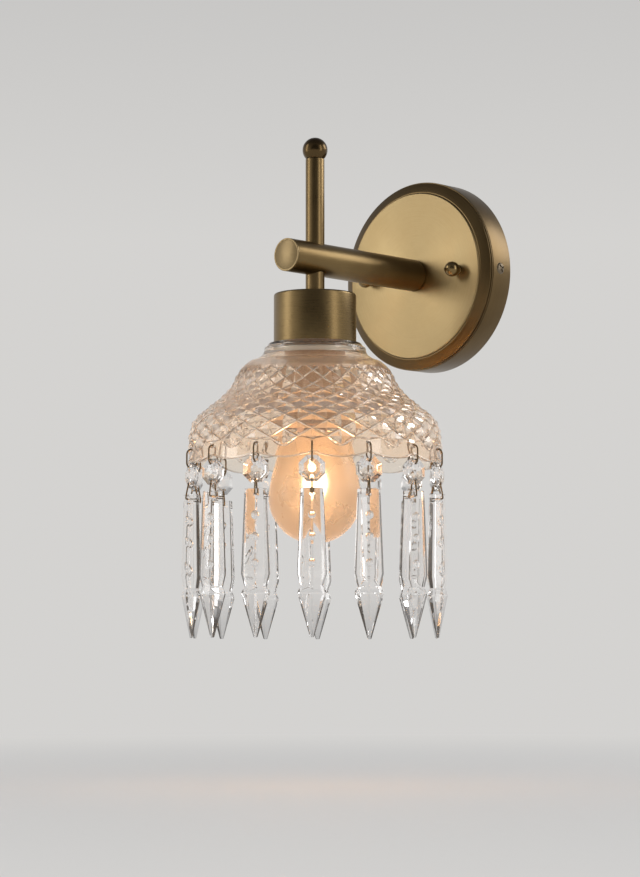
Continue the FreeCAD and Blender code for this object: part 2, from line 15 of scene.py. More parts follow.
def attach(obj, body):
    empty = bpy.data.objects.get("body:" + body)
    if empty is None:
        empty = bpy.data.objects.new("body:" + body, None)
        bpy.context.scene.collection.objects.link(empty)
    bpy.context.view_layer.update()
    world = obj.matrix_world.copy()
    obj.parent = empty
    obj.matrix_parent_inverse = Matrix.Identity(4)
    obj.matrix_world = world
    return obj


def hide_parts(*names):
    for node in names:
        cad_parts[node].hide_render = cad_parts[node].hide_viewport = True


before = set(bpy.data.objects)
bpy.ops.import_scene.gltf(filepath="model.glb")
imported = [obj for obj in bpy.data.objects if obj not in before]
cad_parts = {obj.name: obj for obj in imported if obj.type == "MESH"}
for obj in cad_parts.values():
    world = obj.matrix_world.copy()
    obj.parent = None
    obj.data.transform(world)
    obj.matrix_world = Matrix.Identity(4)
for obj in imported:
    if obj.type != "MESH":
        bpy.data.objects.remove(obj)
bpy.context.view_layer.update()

MM = 0.001

# ---------------------------------------------------------------- sizes
# They are the CAD source's unless a line says otherwise.
CANOPY_RADIUS = 60.0
BAND_DEPTH = 18.0
DISC_RADIUS = 52.5
CANOPY_DEPTH = 22.6
BAND_WALL = 1.8
PLATE_WALL = 1.6
STUD_OFFSET = 36.0
STUD_HOLE_RADIUS = 2.25
SIDE_SCREW_OUT = 10.0
ARM_RADIUS = 10.0
ARM_FRONT = 139.4
BORE_RADIUS = 3.5
SPIGOT_RADIUS = 5.0
SHADE_REACH = 115.0
LEAD_RADIUS = 1.1
STEM_RADIUS = 5.75
STEM_TOP = 61.6
CUP_RADIUS = 25.0
CUP_TOP = -21.3
SHADE_TOP = -51.8
SHADE_WALL = 3.5
FLARE = [
    (42.8, 13.5),
    (47.2, 18.6),
    (50.6, 25.4),
    (58.0, 33.6),
    (67.5, 41.2),
    (73.6, 47.2),
    (76.2, 54.4),
    (76.9, 63.3),
    (76.9, 74.4),
]
FIELD_START = 4.2
FIELD_END = 62.0
BANDS = 12
GROOVE = 2.0  # the solid's is 1.0
PETAL_BOTTOM = 68.0
HOOK_DIAMOND_BOTTOM = 64.2
RIM_PEAK = 71.2
RIM_DIP = 74.4
DROPS = 14
DROP_PHASE = 15.64
DROP_TURNS = (20, 0, -18, -30, -30, 25, 28, 15, 0, -15, -28, -28, 30, 30)
BEAD_TURN_SHARE = 0.5
COLUMNS = 4 * DROPS
SKIRT_RADIUS = FLARE[-1][0]
RING_RADIUS = SKIRT_RADIUS - SHADE_WALL / 2
RIM_HOLE = -117.6
# The holes are round here.  In the solids they are six-sided, 1.5 to a corner.
SHADE_HOLE_RADIUS = 1.35
BEAD_HOLE_RADIUS = 1.15
PRISM_HOLE_RADIUS = 1.2
WIRE = 0.5
HOOK_BEND = 3.0
HOOK_SEAT = 0.566  # from a hole's middle to the wire's, where it rests on the glass
BEAD_MIDDLE = -132.7
BEAD_HOLE_OFFSET = 4.9
BEAD_HALF_FLATS = 7.7
PRISM_TOP = -144.0
PRISM_HOLE = -147.6
LINK_TOP = -138.166
LINK_FOOT = -147.034
PRISM_FLATNESS = 0.52
PRISM_LEVELS = [  # (width, depth below the prism's top), with small chamfers that the solid lacks
    (12.5, 0.0),
    (13.3, 0.45),
    (17.1, 49.1),
    (13.3, 56.1),
    (16.9, 60.3),
    (2.5, 85.1),
    (1.7, 85.5),
]
PRISM_SHOULDER_ACROSS = 0.68
PRISM_SHOULDER_OUT = 0.66
DIMPLE_DEPTHS = (15.3, 27.8, 43.0)
DIMPLE_SINK = 1.8  # the solid's is 1.4
DIMPLE_MOUTH = 2.65  # the solid's is 2.7
BULB_CENTRE = -144.7
BULB_RADIUS = 28.0
BULB_WALL = 1.0  # the solid bulb is closed
GLOW_MIDDLE = -136.5  # height of the glow inside it


# ---------------------------------------------------------------- mesh helpers
def new_object(name, mesh, body, nodes=(), material=None):
    piece = bpy.data.objects.new(name, mesh)
    bpy.context.scene.collection.objects.link(piece)
    if material is not None and not mesh.materials:
        mesh.materials.append(material)
    if body:
        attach(piece, body)
        if nodes:
            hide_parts(*nodes)
    return piece


def make_mesh(name, points, faces, sharp_angle):
    """Mesh in metres from points in millimetres.  Edges sharper than the angle stay crisp."""
    mesh = bpy.data.meshes.new(name)
    mesh.from_pydata([tuple(p) for p in points], [], faces)
    finish_mesh(mesh, sharp_angle)
    mesh.transform(Matrix.Scale(MM, 4))
    return mesh


def finish_mesh(mesh, sharp_angle):
    work = bmesh.new()
    work.from_mesh(mesh)
    bmesh.ops.remove_doubles(work, verts=work.verts, dist=1e-5)
    bmesh.ops.dissolve_degenerate(work, edges=work.edges, dist=1e-5)
    bmesh.ops.recalc_face_normals(work, faces=work.faces)
    limit = math.radians(sharp_angle)
    for face in work.faces:
        face.smooth = sharp_angle > 0
    for edge in work.edges:
        edge.smooth = edge.is_manifold and edge.calc_face_angle(0.0) < limit
    work.to_mesh(mesh)
    work.free()
    mesh.update()


def ring_grid(rings, close_rows=False):
    """Points and faces of a grid of rings, closed round; with close_rows the last ring meets the first."""
    count = len(rings[0])
    points = [p for ring in rings for p in ring]
    faces = []
    rows = len(rings) if close_rows else len(rings) - 1
    for i in range(rows):
        j = (i + 1) % len(rings)
        for k in range(count):
            m = (k + 1) % count
            faces.append((i * count + k, i * count + m, j * count + m, j * count + k))
    return points, faces


def circle_ring(radius, height, sides):
    angles = [2 * math.pi * k / sides for k in range(sides)]
    return [(radius * math.cos(a), radius * math.sin(a), height) for a in angles]


def rounded(outline, steps=4):
    """Outline of (radius, height) or (radius, height, fillet) points with its fillets drawn as arcs."""
    count = len(outline)
    done = []
    for i, corner in enumerate(outline):
        here = Vector(corner[:2])
        if len(corner) < 3:
            done.append(tuple(here))
            continue
        before = Vector(outline[i - 1][:2]) - here
        after = Vector(outline[(i + 1) % count][:2]) - here
        half = before.angle(after) / 2
        back = min(corner[2] / math.tan(half), 0.49 * before.length, 0.49 * after.length)
        start = here + before.normalized() * back
        end = here + after.normalized() * back
        for k in range(steps + 1):
            t = k / steps
            done.append(tuple(start.lerp(here, t).lerp(here.lerp(end, t), t)))
    return done


def turned(name, outline, sides, sharp_angle=30.0):
    """Closed turned mesh about the Z axis; points on the axis share one vertex."""
    rings = [circle_ring(max(r, 0.0), h, sides) for r, h in rounded(outline)]
    points, faces = ring_grid(rings, close_rows=True)
    return make_mesh(name, points, faces, sharp_angle)


def outward(mesh):
    """Turns a mesh made along +Z so that it stands out from the wall, along -Y."""
    mesh.transform(Matrix.Rotation(math.pi / 2, 4, "X"))
    return mesh


def moved(mesh, x=0.0, y=0.0, z=0.0):
    mesh.transform(Matrix.Translation(Vector((x, y, z)) * MM))
    return mesh


def at_shade(mesh):
    return moved(mesh, y=-SHADE_REACH)


def joined(name, meshes):
    """One mesh of several; those that nothing else uses are removed."""
    work = bmesh.new()
    for mesh in meshes:
        work.from_mesh(mesh)
    result = bpy.data.meshes.new(name)
    work.to_mesh(result)
    work.free()
    for mesh in meshes:
        if mesh.users == 0:
            bpy.data.meshes.remove(mesh)
    return result


def cut(mesh, tools, sharp_angle=30.0):
    """The mesh with the tools' solids taken out."""
    body = bpy.data.objects.new("body", mesh)
    tool = bpy.data.objects.new("tool", joined("tools", tools))
    for piece in (body, tool):
        bpy.context.scene.collection.objects.link(piece)
    modifier = body.modifiers.new("cut", "BOOLEAN")
    modifier.operation = "DIFFERENCE"
    modifier.solver = "EXACT"
    modifier.object = tool
    graph = bpy.context.evaluated_depsgraph_get()
    result = bpy.data.meshes.new_from_object(body.evaluated_get(graph))
    result.name = mesh.name
    for piece in (body, tool):
        old = piece.data
        bpy.data.objects.remove(piece)
        bpy.data.meshes.remove(old)
    result.transform(Matrix.Scale(1 / MM, 4))
    finish_mesh(result, sharp_angle)
    result.transform(Matrix.Scale(MM, 4))
    return result


def rod(radius, start, direction, length, sides=24):
    """Round tool or bar from a point, along a direction."""
    mesh = turned("rod", [(0, 0), (radius, 0), (radius, length), (0, length)], sides)
    turn = Vector(direction).to_track_quat("Z", "Y").to_matrix().to_4x4()
    mesh.transform(Matrix.Translation(Vector(start) * MM) @ turn)
    return mesh


def tube(name, path, radius, closed, sides=12):
    """Round wire along a path of points in millimetres."""
    count = len(path)
    path = [Vector(p) for p in path]
    rings = []
    side = None
    for i, point in enumerate(path):
        if closed:
            along = path[(i + 1) % count] - path[i - 1]
        else:
            along = path[min(i + 1, count - 1)] - path[max(i - 1, 0)]
        along.normalize()
        if side is None:
            side = along.orthogonal().normalized()
        side = (side - along * side.dot(along)).normalized()
        other = along.cross(side)
        ring = []
        for k in range(sides):
            a = 2 * math.pi * k / sides
            ring.append(point + (side * math.cos(a) + other * math.sin(a)) * radius)
        rings.append(ring)
    points, faces = ring_grid(rings, close_rows=closed)
    if not closed:
        faces.append(tuple(range(sides)))
        faces.append(tuple(reversed(range(len(points) - sides, len(points)))))
    return make_mesh(name, points, faces, 50.0)


def smooth_path(points, closed, steps):
    """Catmull-Rom curve through points."""
    count = len(points)
    points = [Vector(p) for p in points]
    done = []
    for i in range(count if closed else count - 1):
        if closed:
            a, b, c, d = (points[(i + k) % count] for k in (-1, 0, 1, 2))
        else:
            a, b, c, d = (points[min(max(i + k, 0), count - 1)] for k in (-1, 0, 1, 2))
        for k in range(steps):
            t = k / steps
            curve = 2 * b + (c - a) * t + (2 * a - 5 * b + 4 * c - d) * t**2 + (3 * b - a - 3 * c + d) * t**3
            done.append(0.5 * curve)
    if not closed:
        done.append(points[-1])
    return done


# ---------------------------------------------------------------- material helpers
class Shader:
    """Small wrapper that adds nodes to a material and links them."""

    def __init__(self, name):
        self.material = bpy.data.materials.new(name)
        self.material.use_nodes = True
        self.nodes = self.material.node_tree.nodes
        self.links = self.material.node_tree.links
        self.bsdf = self.nodes["Principled BSDF"]
        self.output = self.nodes["Material Output"]

    def add(self, kind, inputs=None, **settings):
        node = self.nodes.new("ShaderNode" + kind)
        for key, value in settings.items():
            setattr(node, key, value)
        for key, value in (inputs or {}).items():
            self.put(node, key, value)
        return node

    def put(self, node, key, value):
        if isinstance(value, bpy.types.Node):
            value = value.outputs[0]
        if isinstance(value, bpy.types.NodeSocket):
            self.links.new(value, node.inputs[key])
        else:
            node.inputs[key].default_value = value

    def set(self, **values):
        for key, value in values.items():
            self.put(self.bsdf, key.replace("_", " "), value)

    def math(self, operation, a, b=0.0):
        return self.add("Math", {0: a, 1: b}, operation=operation)

    def ramp(self, factor, stops):
        node = self.add("ValToRGB", {"Fac": factor})
        elements = node.color_ramp.elements
        while len(elements) < len(stops):
            elements.new(0.5)
        for element, (place, colour) in zip(elements, stops):
            element.position = place
            element.color = (*colour, 1.0)
        return node

    def place(self):
        return self.add("TexCoord").outputs["Object"]

    def noise(self, vector, scale, detail=3.0, roughness=0.5):
        inputs = {"Vector": vector, "Scale": scale, "Detail": detail, "Roughness": roughness}
        return self.add("TexNoise", inputs).outputs["Fac"]


def polar(shader, axis, centre):
    """(distance from the axis, angle, height along the axis) as sockets, in metres and radians."""
    offset = shader.add("VectorMath", {0: shader.place(), 1: centre}, operation="SUBTRACT")
    parts = shader.add("SeparateXYZ", {0: offset})
    names = {"Y": ("X", "Z", "Y"), "Z": ("X", "Y", "Z")}[axis]
    a, b, height = (parts.outputs[n] for n in names)
    square = shader.math("ADD", shader.math("MULTIPLY", a, a), shader.math("MULTIPLY", b, b))
    return shader.math("SQRT", square), shader.math("ARCTAN2", b, a), height


def brass(name, axis, centre, light, dark, roughness, aniso, grain, grain_bump):
    """Brushed brass, turned about an axis.  grain says whether the brushing runs in rings or lengthways."""
    s = Shader(name)
    radius, angle, height = polar(s, axis, centre)
    if grain == "ring":
        across = s.math("ADD", radius, height)
        places = {0: s.math("MULTIPLY", across, 3600.0), 1: s.math("MULTIPLY", angle, 1.6)}
    else:
        places = {0: s.math("MULTIPLY", angle, 42.0), 1: s.math("MULTIPLY", height, 70.0)}
    lines = s.add("CombineXYZ", places)
    fine = s.noise(lines.outputs[0], 1.0, 4.0, 0.65)
    cloud = s.noise(s.place(), 38.0, 4.0, 0.55)
    spots = s.noise(s.place(), 420.0, 2.0, 0.5)
    blend = s.math("ADD", s.math("MULTIPLY", fine, 0.45), s.math("MULTIPLY", cloud, 0.55))
    colour = s.ramp(blend, [(0.3, dark), (0.68, light)])
    rough = s.math("ADD", s.math("MULTIPLY", fine, 0.14), s.math("MULTIPLY", cloud, 0.1))
    rough = s.math("ADD", rough, s.math("MULTIPLY", spots, 0.04))
    rough = s.math("ADD", rough, roughness - 0.13)
    bump = s.add("Bump", {"Height": fine, "Strength": grain_bump, "Distance": 0.00006})
    tangent = s.add("Tangent", direction_type="RADIAL", axis=axis)
    s.set(Base_Color=colour, Metallic=1.0, Roughness=rough, Normal=bump, Tangent=tangent)
    s.set(Anisotropic=aniso, Coat_Weight=0.08, Coat_Roughness=0.25)
    return s.material


def steel(name, colour, roughness):
    s = Shader(name)
    grain = s.noise(s.place(), 900.0, 4.0, 0.6)
    cloud = s.noise(s.place(), 60.0, 3.0)
    tint = s.ramp(cloud, [(0.35, tuple(0.8 * c for c in colour)), (0.7, colour)])
    rough = s.math("ADD", s.math("MULTIPLY", grain, 0.2), roughness - 0.1)
    bump = s.add("Bump", {"Height": grain, "Strength": 0.15, "Distance": 0.00005})
    s.set(Base_Color=tint, Metallic=1.0, Roughness=rough, Normal=bump)
    return s.material


def clear_glass(name, colour, ior, wave, wave_scale, shadow, haze):
    """Clear glass that lets lamp light through as a faint tint, wavy and slightly hazy."""
    s = Shader(name)
    ripple = s.noise(s.place(), wave_scale, 2.0)
    bump = s.add("Bump", {"Height": ripple, "Strength": wave, "Distance": 0.0002})
    smudge = s.ramp(s.noise(s.place(), 90.0, 4.0, 0.6), [(0.45, (0.0,) * 3), (0.8, (0.05,) * 3)])
    s.set(Base_Color=colour, Roughness=smudge, IOR=ior, Transmission_Weight=1.0, Normal=bump)
    milk = s.add("BsdfTranslucent", {"Color": (1.0, 0.92, 0.82, 1.0)})
    body = s.add("MixShader", {0: haze, 1: s.bsdf.outputs[0], 2: milk})
    through = s.add("BsdfTransparent", {"Color": shadow})
    rays = s.add("LightPath")
    mix = s.add("MixShader", {0: rays.outputs["Is Shadow Ray"], 1: body, 2: through})
    s.links.new(mix.outputs[0], s.output.inputs["Surface"])
    return s.material


def plain(name, colour, roughness, scale, strength, speck=0.85, coat=0.0):
    """Ceramic, plastic and the like: mottled colour, uneven gloss and a fine surface."""
    s = Shader(name)
    grain = s.noise(s.place(), scale, 3.0)
    tint = s.ramp(grain, [(0.35, tuple(speck * c for c in colour)), (0.65, colour)])
    rough = s.math("ADD", s.math("MULTIPLY", grain, 0.15), roughness - 0.07)
    bump = s.add("Bump", {"Height": grain, "Strength": strength, "Distance": 0.00005})
    s.set(Base_Color=tint, Roughness=rough, Normal=bump, Coat_Weight=coat)
    return s.material


def frosted(name):
    """Etched bulb glass: scatters, and lets some of the view through blurred."""
    s = Shader(name)
    grain = s.noise(s.place(), 1500.0, 3.0)
    cloud = s.noise(s.place(), 50.0, 3.0)
    rough = s.math("ADD", s.math("MULTIPLY", cloud, 0.03), 0.26)
    bump = s.add("Bump", {"Height": grain, "Strength": 0.08, "Distance": 0.00004})
    s.set(Base_Color=(0.67, 0.565, 0.47, 1.0), Roughness=rough, IOR=1.3, Transmission_Weight=1.0, Normal=bump)
    s.set(Emission_Color=(1.0, 0.66, 0.40, 1.0), Emission_Strength=0.03)
    through = s.add("BsdfTransparent", {"Color": (0.9, 0.85, 0.78, 1.0)})
    milk = s.add("BsdfTranslucent", {"Color": (1.0, 0.80, 0.56, 1.0)})
    body = s.add("MixShader", {0: 0.02, 1: s.bsdf.outputs[0], 2: milk})
    rays = s.add("LightPath")
    mix = s.add("MixShader", {0: rays.outputs["Is Shadow Ray"], 1: body, 2: through})
    s.links.new(mix.outputs[0], s.output.inputs["Surface"])
    return s.material


def glow(name, colour, strength):
    s = Shader(name)
    cloud = s.noise(s.place(), 200.0, 2.0)
    tint = s.ramp(cloud, [(0.3, tuple(0.9 * c for c in colour)), (0.7, colour)])
    s.set(Base_Color=(1.0, 0.9, 0.7, 1.0), Emission_Color=tint, Emission_Strength=strength)
    return s.material


# ---------------------------------------------------------------- materials
WALL_CENTRE = (0.0, 0.0, 0.0)
SHADE_CENTRE = (0.0, -SHADE_REACH * MM, 0.0)
# All of these are one satin brass. Their light and dark colours are set piece by piece as painted light and
# shade: the disc and the end cap are painted lighter, the band and the finial ball much darker than the same
# metal would be.
disc_brass = brass(
    "disc_brass", "Y", WALL_CENTRE, (0.40, 0.295, 0.145), (0.30, 0.21, 0.095), 0.33, 0.75, "ring", 0.12
)
band_brass_painted_shade = brass(
    "band_brass_painted_shade", "Y", WALL_CENTRE, (0.16, 0.106, 0.045), (0.105, 0.067, 0.027), 0.3, 0.6, "ring", 0.12
)
arm_brass = brass(
    "arm_brass", "Y", WALL_CENTRE, (0.24, 0.165, 0.07), (0.17, 0.11, 0.043), 0.34, 0.0, "length", 0.1
)
cap_brass = brass(
    "cap_brass", "Y", WALL_CENTRE, (0.31, 0.225, 0.112), (0.21, 0.148, 0.07), 0.36, 0.3, "ring", 0.16
)
stem_brass = brass(
    "stem_brass", "Z", SHADE_CENTRE, (0.23, 0.155, 0.068), (0.15, 0.098, 0.04), 0.28, 0.3, "length", 0.08
)
cup_brass = brass(
    "cup_brass", "Z", SHADE_CENTRE, (0.25, 0.175, 0.078), (0.16, 0.105, 0.043), 0.28, 0.6, "ring", 0.14
)
ball_brass_painted_shade = brass(
    "ball_brass_painted_shade", "Z", SHADE_CENTRE, (0.13, 0.085, 0.036), (0.08, 0.05, 0.02), 0.22, 0.0, "ring", 0.03
)
nut_brass = brass(
    "nut_brass", "Y", WALL_CENTRE, (0.27, 0.185, 0.08), (0.18, 0.12, 0.05), 0.2, 0.0, "ring", 0.03
)
wire_brass = steel("wire_brass", (0.20, 0.14, 0.075), 0.28)
zinc = steel("zinc", (0.56, 0.57, 0.56), 0.38)
screw_metal = steel("screw_metal", (0.22, 0.175, 0.12), 0.34)
bulb_metal = steel("bulb_metal", (0.62, 0.6, 0.55), 0.25)
# The shade's warm champagne colour is painted light: it stands for the bulb's warm glow in glass that is
# clear.
shade_glass_painted_glow = clear_glass(
    "shade_glass_painted_glow", (0.96, 0.88, 0.785, 1.0), 1.5, 0.12, 120.0, (0.94, 0.9, 0.85, 1.0), 0.055
)
crystal = clear_glass("crystal", (0.99, 0.99, 0.99, 1.0), 1.56, 0.02, 150.0, (0.93, 0.93, 0.93, 1.0), 0.015)
ceramic = plain("ceramic", (0.24, 0.145, 0.08), 0.3, 120.0, 0.05, 0.9, 0.4)
lead_plastic = plain("lead_plastic", (0.74, 0.70, 0.60), 0.45, 700.0, 0.15)
bulb_glass = frosted("bulb_glass")
filament_glow = glow("filament_glow", (1.0, 0.78, 0.55), 11.5)


# ---------------------------------------------------------------- canopy
def canopy():
    inside = CANOPY_RADIUS - BAND_WALL
    band = turned(
        "canopy_band_turned",
        [
            (inside, 0.0),
            (CANOPY_RADIUS, 0.0, 0.3),
            (CANOPY_RADIUS, BAND_DEPTH - 1.25, 0.1),
            (CANOPY_RADIUS - 0.55, BAND_DEPTH - 1.1),
            (CANOPY_RADIUS - 0.55, BAND_DEPTH - 0.8),
            (CANOPY_RADIUS, BAND_DEPTH - 0.65, 0.1),
            (CANOPY_RADIUS, BAND_DEPTH, 0.25),
            (inside, BAND_DEPTH),
        ],
        160,
    )
    band = outward(band)
    tools = []
    for side in (1, -1):
        tools.append(rod(2.25, (side * 50, -SIDE_SCREW_OUT, 0), (side, 0, 0), 15))
        tools.append(rod(4.1, (side * 59.2, -SIDE_SCREW_OUT, 0), (side, 0, 0), 5, 40))
    new_object("canopy_band_turned", cut(band, tools), "fixture", ["canopy_band"], band_brass_painted_shade)

    rim = CANOPY_RADIUS - 0.6
    plate = turned(
        "face_plate_spun",
        [
            (5.1, CANOPY_DEPTH - PLATE_WALL),
            (DISC_RADIUS - PLATE_WALL, CANOPY_DEPTH - PLATE_WALL, 0.8),
            (rim - PLATE_WALL, BAND_DEPTH + 0.8, 0.8),
            (rim - PLATE_WALL, BAND_DEPTH),
            (rim, BAND_DEPTH),
            (rim, BAND_DEPTH + 1.0, 0.4),
            (DISC_RADIUS + 1.0, CANOPY_DEPTH - 1.15, 0.5),
            (DISC_RADIUS + 0.35, CANOPY_DEPTH - 1.2, 0.25),
            (DISC_RADIUS, CANOPY_DEPTH - 0.5, 0.2),
            (DISC_RADIUS - 0.3, CANOPY_DEPTH, 0.35),
            (5.1, CANOPY_DEPTH),
        ],
        160,
    )
    plate = outward(plate)
    tools = [rod(STUD_HOLE_RADIUS, (x, 0, 0), (0, -1, 0), 40) for x in (-STUD_OFFSET, STUD_OFFSET)]
    plate = cut(plate, tools)
    # The bevel, rim and back of the spun plate take the band's darker brass: painted shade on the same metal
    # as the disc.
    plate.materials.append(disc_brass)
    plate.materials.append(band_brass_painted_shade)
    for face in plate.polygons:
        middle = face.center / MM
        if math.hypot(middle.x, middle.z) > DISC_RADIUS + 0.1 or middle.y > 0.5 - CANOPY_DEPTH:
            face.material_index = 1
    new_object("face_plate_spun", plate, "fixture", ["face_plate"])


def ball_nuts():
    seat = CANOPY_DEPTH + 1.8
    ball = 4.75
    middle = seat + math.sqrt(ball**2 - 2.6**2)
    low = math.asin((seat - middle) / ball)
    outline = [(2.0, CANOPY_DEPTH), (3.3, CANOPY_DEPTH, 0.3), (3.3, seat - 0.5, 0.3), (2.5, seat - 0.2)]
    for k in range(25):
        a = low + (math.pi / 2 - low) * k / 24
        outline.append((ball * math.cos(a), middle + ball * math.sin(a)))
    outline += [(0.0, CANOPY_DEPTH + 6.0), (2.0, CANOPY_DEPTH + 6.0)]
    for name, x in (("ball_nut_left", -STUD_OFFSET), ("ball_nut_right", STUD_OFFSET)):
        mesh = moved(outward(turned(name, outline, 48)), x=x)
        new_object(name, mesh, "fixture", ["ball_nuts"], nut_brass)


def side_screws():
    outline = [
        (0.0, -7.0),
        (1.5, -7.0),
        (1.95, -6.4),
        (1.95, 0.0),
        (3.6, 0.0, 0.2),
        (3.6, 0.7, 0.4),
        (2.6, 1.45, 0.5),
        (0.0, 1.6),
    ]
    for name, side in (("side_screw_right", 1), ("side_screw_left", -1)):
        head = turned(name, outline, 40)
        slots = []
        for turn in (25, 115):
            slot = bar_block(2.4, 0.6, 2.2)
            slot.transform(Matrix.Rotation(math.radians(turn), 4, "Z"))
            slot.transform(Matrix.Translation((0, 0, 1.9 * MM)))
            slots.append(slot)
        head = cut(cut(head, slots[:1]), slots[1:])
        head.transform(Matrix.Rotation(side * math.pi / 2, 4, "Y"))
        moved(head, side * (CANOPY_RADIUS - 0.8), -SIDE_SCREW_OUT)
        new_object(name, head, "fixture", ["side_screws"], screw_metal)


def bar_block(half_x, half_y, height):
    points = []
    for z in (-height / 2, height / 2):
        points += [(-half_x, -half_y, z), (half_x, -half_y, z), (half_x, half_y, z), (-half_x, half_y, z)]
    faces = [(3, 2, 1, 0), (4, 5, 6, 7)] + [(k, (k + 1) % 4, (k + 1) % 4 + 4, k + 4) for k in range(4)]
    return make_mesh("block", points, faces, 0)


# ---------------------------------------------------------------- arm, stem and cup
def arm_and_stem():
    arm = turned(
        "arm_turned",
        [
            (BORE_RADIUS, 14.0),
            (SPIGOT_RADIUS, 14.0, 0.3),
            (SPIGOT_RADIUS, CANOPY_DEPTH),
            (ARM_RADIUS - 0.35, CANOPY_DEPTH),
            (ARM_RADIUS - 0.45, CANOPY_DEPTH + 0.5),
            (ARM_RADIUS, CANOPY_DEPTH + 0.75, 0.15),
            (ARM_RADIUS, ARM_FRONT - 0.1, 0.1),
            (ARM_RADIUS - 0.25, ARM_FRONT),
            (8.5, ARM_FRONT),
            (8.5, 28.6),
            (BORE_RADIUS, 28.6),
        ],
        128,
    )
    arm = outward(arm)
    hole = rod(STEM_RADIUS + 0.1, (0, -SHADE_REACH, -20), (0, 0, 1), 40, 64)
    new_object("arm_turned", cut(arm, [hole]), "fixture", ["arm_tube"], arm_brass)

    cap = turned(
        "arm_cap_turned",
        [
            (0.0, 133.4),
            (8.4, 133.4, 0.3),
            (8.4, ARM_FRONT),
            (ARM_RADIUS - 0.2, ARM_FRONT + 0.06),
            (ARM_RADIUS, ARM_FRONT + 0.2, 0.1),
            (ARM_RADIUS, ARM_FRONT + 1.2, 0.3),
            (8.9, ARM_FRONT + 1.2),
            (8.75, ARM_FRONT + 1.12),
            (8.6, ARM_FRONT + 1.2),
            (0.0, ARM_FRONT + 1.2),
        ],
        128,
    )
    new_object("arm_cap_turned", outward(cap), "fixture", ["arm_end_cap"], cap_brass)

    stem = turned(
        "stem_turned",
        [
            (BORE_RADIUS, -41.3),
            (SPIGOT_RADIUS, -41.3, 0.3),
            (SPIGOT_RADIUS, CUP_TOP),
            (STEM_RADIUS, CUP_TOP, 0.1),
            (STEM_RADIUS, STEM_TOP, 0.35),
            (BORE_RADIUS, STEM_TOP),
        ],
        64,
    )
    stem = at_shade(stem)
    wire_hole = rod(3.2, (0, -SHADE_REACH, 0), (0, 1, 0), 10)
    new_object("stem_turned", cut(stem, [wire_hole]), "fixture", ["stem_tube"], stem_brass)

    ball = 7.65
    middle = STEM_TOP + math.sqrt(ball**2 - 5.3**2)
    low = math.asin((62.0 - middle) / ball)
    outline = [(0.0, 53.6), (3.4, 53.6), (3.4, STEM_TOP), (4.9, STEM_TOP), (5.0, 61.9)]
    for k in range(41):
        a = low + (math.pi / 2 - low) * k / 40
        outline.append((ball * math.cos(a), middle + ball * math.sin(a)))
    finial = at_shade(turned("finial_turned", outline, 72))
    new_object("finial_turned", finial, "fixture", ["finial_ball"], ball_brass_painted_shade)


def cup():
    mesh = turned(
        "cup_turned",
        [
            (5.1, CUP_TOP),
            (CUP_RADIUS, CUP_TOP, 1.7),
            (CUP_RADIUS, SHADE_TOP, 0.25),
            (CUP_RADIUS - 1.5, SHADE_TOP, 0.25),
            (CUP_RADIUS - 1.5, CUP_TOP - 1.5, 1.0),
            (5.1, CUP_TOP - 1.5),
        ],
        160,
    )
    new_object("cup_turned", at_shade(mesh), "fixture", ["socket_cup"], cup_brass)


# ---------------------------------------------------------------- lampholder and bulb
def lampholder():
    mesh = turned(
        "lampholder_body",
        [
            (0.0, -68.0),
            (13.7, -68.0, 0.5),
            (13.7, -92.0, 0.6),
            (19.0, -92.0, 1.2),
            (19.0, -76.0, 0.3),
            (18.4, -75.4, 0.3),
            (18.4, -58.5, 0.3),
            (19.0, -58.0, 0.3),
            (19.0, -33.0, 1.5),
            (5.05, -33.0),
            (5.05, -43.3),
            (0.0, -43.3),
        ],
        96,
    )
    new_object("lampholder_body", at_shade(mesh), "fixture", ["lampholder"], ceramic)
    ring = turned(
        "shade_clamp_ring",
        [(19.05, -59.4, 0.2), (25.0, -59.4, 0.6), (25.0, -55.4, 0.3), (19.05, -55.4, 0.2)],
        96,
    )
    new_object("shade_clamp_ring", at_shade(ring), "fixture", ["shade_ring"], zinc)


def bulb():
    shoulder = [(14.2, -96.0), (14.6, -99.0), (17.6, -106.5), (22.4, -119.5), (25.9, -131.5)]
    globe = []
    for k in range(35):
        a = math.radians(12.0 - 102.0 * k / 34)
        globe.append((BULB_RADIUS * math.cos(a), BULB_CENTRE + BULB_RADIUS * math.sin(a)))
    globe[-1] = (0.0, BULB_CENTRE - BULB_RADIUS)
    smooth = smooth_path([(r, h, 0.0) for r, h in shoulder + globe[:2]], False, 5)
    outer = [(p.x, p.y) for p in smooth] + globe[2:]
    inner = []
    for i in range(len(outer)):
        before = Vector(outer[max(i - 1, 0)])
        after = Vector(outer[min(i + 1, len(outer) - 1)])
        along = (after - before).normalized()
        r, h = outer[i]
        inner.append((max(r + along.y * BULB_WALL, 0.0), h - along.x * BULB_WALL))
    inner[-1] = (0.0, outer[-1][1] + BULB_WALL)
    mesh = turned("bulb_envelope", outer + inner[::-1], 96, 60.0)
    new_object("bulb_envelope", at_shade(mesh), "fixture", ["bulb"], bulb_glass)

    cap = [(0.0, -95.5), (13.1, -95.5, 0.3), (13.1, -93.5)]
    turns = 5
    for k in range(turns * 8):
        height = -93.0 + 18.0 * k / (turns * 8)
        cap.append((12.75 + 0.35 * math.cos(2 * math.pi * k / 8), height))
    cap += [(12.4, -74.5, 0.5), (9.0, -72.6, 0.5), (4.6, -71.0), (4.2, -69.6, 0.5), (0.0, -69.4)]
    mesh = turned("bulb_cap", cap, 72, 40.0)
    new_object("bulb_cap", at_shade(mesh), "fixture", ["bulb"], bulb_metal)

    core = []
    for k in range(17):
        a = -math.pi / 2 + math.pi * k / 16
        core.append((max(7.0 * math.cos(a), 0.0), GLOW_MIDDLE + 11.0 * math.sin(a)))
    mesh = turned("bulb_filament", core, 32, 60.0)
    new_object("bulb_filament", at_shade(mesh), "fixture", ["bulb"], filament_glow)


